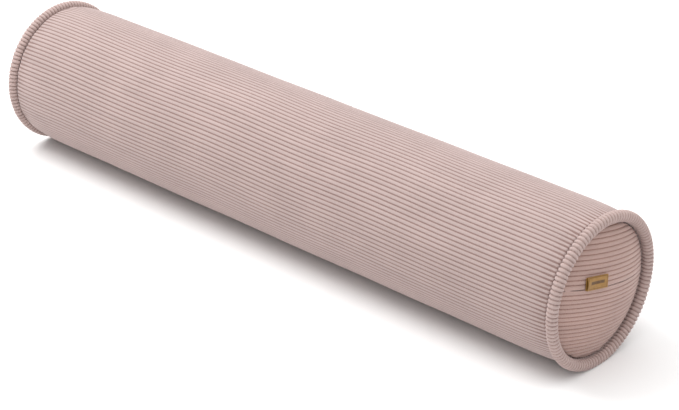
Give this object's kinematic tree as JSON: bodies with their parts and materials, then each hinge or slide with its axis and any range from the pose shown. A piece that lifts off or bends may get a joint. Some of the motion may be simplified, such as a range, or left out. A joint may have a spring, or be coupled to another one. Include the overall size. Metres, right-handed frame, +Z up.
{
  "type": "bolster pillow",
  "caption": "Long firm round bolster in a wide-rib corduroy cover with thick piping round both ends, a hidden zip across one domed end and a folded label tab beside it.",
  "frame": {"origin": "on the floor, below the middle of the pillow as it lies on its two pipings", "axes": "+X along the pillow towards the end with the zip and label, +Y across it, +Z up"},
  "size_m": [1.0186, 0.2062, 0.205],
  "materials": {
    "corduroy": "dusty pink wide-wale corduroy, soft cut pile about 5.7 mm from rib to rib",
    "piping_cord": "undyed twisted cotton cord",
    "zip_tape": "woven polyester tape dyed to match",
    "zip_coil": "nylon coil dyed to match",
    "zip_slider": "lacquered zinc slider dyed to match",
    "label": "golden brown leatherette, fine grain, blind-pressed plain border",
    "satin": "white satin ribbon, blank",
    "casing": "plain white non-woven casing",
    "wadding": "soft polyester wadding",
    "foam": "open-cell upholstery foam"
  },
  "bodies": {
    "cushion": {"cover_body": "corduroy", "end_panel_far": "corduroy", "end_panel_near_upper": "corduroy", "end_panel_near_lower": "corduroy", "piping_cover_near": "corduroy", "piping_cover_far": "corduroy", "piping_cord_near": "piping_cord", "piping_cord_far": "piping_cord", "zip_tape_upper": "zip_tape", "zip_tape_lower": "zip_tape", "zip_coil_upper": "zip_coil", "zip_coil_lower": "zip_coil", "care_label": "satin", "casing_body": "casing", "casing_end_near": "casing", "casing_end_far": "casing", "wadding_pad_near": "wadding", "wadding_pad_far": "wadding", "wadding_wrap": "wadding", "foam_core": "foam"},
    "zip_slider": {"zip_slider": "zip_slider"},
    "label": {"label_tab": "label"}
  },
  "joints": [
    {"name": "zip_travel", "type": "hinge", "parent": "cushion", "child": "zip_slider", "pos_m": [0.29775, 0, 0.1013], "axis": [0, 0.2096, 0.9778], "range_deg": [0, 41]},
    {"name": "label_flap", "type": "hinge", "parent": "cushion", "child": "label", "pos_m": [0.50664, -0.02962, 0.12169], "axis": [0.1571, 0.9656, -0.207], "range_deg": [0, 75], "stiffness_Nm_per_rad": 0.0003}
  ]
}
